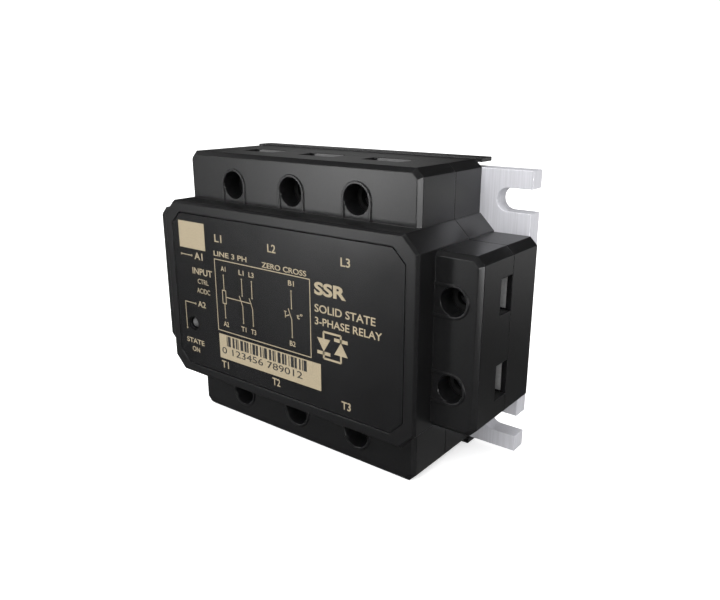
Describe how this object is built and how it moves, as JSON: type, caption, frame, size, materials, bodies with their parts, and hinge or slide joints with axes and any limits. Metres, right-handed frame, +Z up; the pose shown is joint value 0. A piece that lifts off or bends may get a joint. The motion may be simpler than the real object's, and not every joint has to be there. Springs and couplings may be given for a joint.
{
  "type": "solid state relay",
  "caption": "Three-phase solid state relay: black two-shell housing on an aluminium plate with open fixing slots, with screw-clamp power and control terminals and a status lamp.",
  "frame": {"origin": "centre of the base plate's mounting face", "axes": "+Y out of the mounting face, away from the label; +X to the right of a person who faces the label; +Z up, towards the L1, L2, L3 terminals"},
  "size_m": [0.1042, 0.0373, 0.0742],
  "materials": {
    "housing": "fine-grained moulded, matt black",
    "label": "gloss black overlay with pale gold print",
    "plate": "brushed",
    "lamp": "clear lens, unlit",
    "screw_steel": "zinc plated",
    "cage_steel": "zinc plated, stamped",
    "busbar": "tin-plated copper, satin",
    "board": "glass-epoxy laminate with green solder mask",
    "ceramic": "alumina, matt",
    "copper": "bare copper",
    "silicon": "passivated silicon",
    "component_black": "moulded epoxy",
    "capacitor": "moulded yellow film capacitor",
    "varistor": "blue dipped coating",
    "resistor": "lacquered, tan"
  },
  "bodies": {
    "root": {"front_housing": "housing", "rear_housing": "housing", "base_plate": "plate", "front_label": "label", "status_led": "lamp", "housing_screws": "screw_steel", "control_board": "board", "board_screws": "screw_steel", "terminal_cage_l1": "cage_steel", "terminal_cage_l2": "cage_steel", "terminal_cage_l3": "cage_steel", "terminal_cage_t1": "cage_steel", "terminal_cage_t2": "cage_steel", "terminal_cage_t3": "cage_steel", "terminal_cage_a1": "cage_steel", "terminal_cage_a2": "cage_steel", "terminal_cage_b1": "cage_steel", "terminal_cage_b2": "cage_steel", "busbar_l1": "busbar", "busbar_l3": "busbar", "busbar_t1": "busbar", "busbar_t3": "busbar", "busbar_l2_t2": "busbar", "contact_bar_a1": "busbar", "contact_bar_a2": "busbar", "contact_bar_b1": "busbar", "contact_bar_b2": "busbar", "ceramic_left": "ceramic", "ceramic_right": "ceramic", "copper_pads": "copper", "thyristor_dies": "silicon", "die_clips": "copper", "gate_leads": "busbar", "thermal_switch": "component_black", "optocouplers": "component_black", "snubber_capacitors": "capacitor", "varistors": "varistor", "board_resistors": "resistor", "input_rectifier": "component_black"},
    "pressure_l1": {"pressure_plate_l1": "cage_steel"},
    "screw_l1": {"clamp_screw_l1": "screw_steel"},
    "pressure_l2": {"pressure_plate_l2": "cage_steel"},
    "screw_l2": {"clamp_screw_l2": "screw_steel"},
    "pressure_l3": {"pressure_plate_l3": "cage_steel"},
    "screw_l3": {"clamp_screw_l3": "screw_steel"},
    "pressure_t1": {"pressure_plate_t1": "cage_steel"},
    "screw_t1": {"clamp_screw_t1": "screw_steel"},
    "pressure_t2": {"pressure_plate_t2": "cage_steel"},
    "screw_t2": {"clamp_screw_t2": "screw_steel"},
    "pressure_t3": {"pressure_plate_t3": "cage_steel"},
    "screw_t3": {"clamp_screw_t3": "screw_steel"},
    "pressure_a1": {"pressure_plate_a1": "cage_steel"},
    "screw_a1": {"clamp_screw_a1": "screw_steel"},
    "pressure_a2": {"pressure_plate_a2": "cage_steel"},
    "screw_a2": {"clamp_screw_a2": "screw_steel"},
    "pressure_b1": {"pressure_plate_b1": "cage_steel"},
    "screw_b1": {"clamp_screw_b1": "screw_steel"},
    "pressure_b2": {"pressure_plate_b2": "cage_steel"},
    "screw_b2": {"clamp_screw_b2": "screw_steel"}
  },
  "joints": [
    {"name": "clamp_l1", "type": "slide", "parent": "root", "child": "pressure_l1", "axis": [0, 1, 0], "range_m": [-0.0052, 0]},
    {"name": "turn_l1", "type": "hinge", "parent": "pressure_l1", "child": "screw_l1", "pos_m": [-0.02, -0.0223, 0.02885], "axis": [0, 1, 0], "range_deg": [-2345, 0]},
    {"name": "clamp_l2", "type": "slide", "parent": "root", "child": "pressure_l2", "axis": [0, 1, 0], "range_m": [-0.0052, 0]},
    {"name": "turn_l2", "type": "hinge", "parent": "pressure_l2", "child": "screw_l2", "pos_m": [0, -0.0223, 0.02885], "axis": [0, 1, 0], "range_deg": [-2345, 0]},
    {"name": "clamp_l3", "type": "slide", "parent": "root", "child": "pressure_l3", "axis": [0, 1, 0], "range_m": [-0.0052, 0]},
    {"name": "turn_l3", "type": "hinge", "parent": "pressure_l3", "child": "screw_l3", "pos_m": [0.02, -0.0223, 0.02885], "axis": [0, 1, 0], "range_deg": [-2345, 0]},
    {"name": "clamp_t1", "type": "slide", "parent": "root", "child": "pressure_t1", "axis": [0, 1, 0], "range_m": [-0.0052, 0]},
    {"name": "turn_t1", "type": "hinge", "parent": "pressure_t1", "child": "screw_t1", "pos_m": [-0.02, -0.0223, -0.02885], "axis": [0, 1, 0], "range_deg": [-2345, 0]},
    {"name": "clamp_t2", "type": "slide", "parent": "root", "child": "pressure_t2", "axis": [0, 1, 0], "range_m": [-0.0052, 0]},
    {"name": "turn_t2", "type": "hinge", "parent": "pressure_t2", "child": "screw_t2", "pos_m": [0, -0.0223, -0.02885], "axis": [0, 1, 0], "range_deg": [-2345, 0]},
    {"name": "clamp_t3", "type": "slide", "parent": "root", "child": "pressure_t3", "axis": [0, 1, 0], "range_m": [-0.0052, 0]},
    {"name": "turn_t3", "type": "hinge", "parent": "pressure_t3", "child": "screw_t3", "pos_m": [0.02, -0.0223, -0.02885], "axis": [0, 1, 0], "range_deg": [-2345, 0]},
    {"name": "clamp_a1", "type": "slide", "parent": "root", "child": "pressure_a1", "axis": [0, 1, 0], "range_m": [-0.0049, 0]},
    {"name": "turn_a1", "type": "hinge", "parent": "pressure_a1", "child": "screw_a1", "pos_m": [-0.0457, -0.0223, 0.0099], "axis": [0, 1, 0], "range_deg": [-2525, 0]},
    {"name": "clamp_a2", "type": "slide", "parent": "root", "child": "pressure_a2", "axis": [0, 1, 0], "range_m": [-0.0049, 0]},
    {"name": "turn_a2", "type": "hinge", "parent": "pressure_a2", "child": "screw_a2", "pos_m": [-0.0457, -0.0223, -0.0099], "axis": [0, 1, 0], "range_deg": [-2525, 0]},
    {"name": "clamp_b1", "type": "slide", "parent": "root", "child": "pressure_b1", "axis": [0, 1, 0], "range_m": [-0.0049, 0]},
    {"name": "turn_b1", "type": "hinge", "parent": "pressure_b1", "child": "screw_b1", "pos_m": [0.0457, -0.0223, 0.0099], "axis": [0, 1, 0], "range_deg": [-2525, 0]},
    {"name": "clamp_b2", "type": "slide", "parent": "root", "child": "pressure_b2", "axis": [0, 1, 0], "range_m": [-0.0049, 0]},
    {"name": "turn_b2", "type": "hinge", "parent": "pressure_b2", "child": "screw_b2", "pos_m": [0.0457, -0.0223, -0.0099], "axis": [0, 1, 0], "range_deg": [-2525, 0]}
  ],
  "couplings": [
    {"joint": "turn_l1", "follows": "clamp_l1", "rad_per_m": 7854},
    {"joint": "turn_l2", "follows": "clamp_l2", "rad_per_m": 7854},
    {"joint": "turn_l3", "follows": "clamp_l3", "rad_per_m": 7854},
    {"joint": "turn_t1", "follows": "clamp_t1", "rad_per_m": 7854},
    {"joint": "turn_t2", "follows": "clamp_t2", "rad_per_m": 7854},
    {"joint": "turn_t3", "follows": "clamp_t3", "rad_per_m": 7854},
    {"joint": "turn_a1", "follows": "clamp_a1", "rad_per_m": 8976},
    {"joint": "turn_a2", "follows": "clamp_a2", "rad_per_m": 8976},
    {"joint": "turn_b1", "follows": "clamp_b1", "rad_per_m": 8976},
    {"joint": "turn_b2", "follows": "clamp_b2", "rad_per_m": 8976}
  ]
}
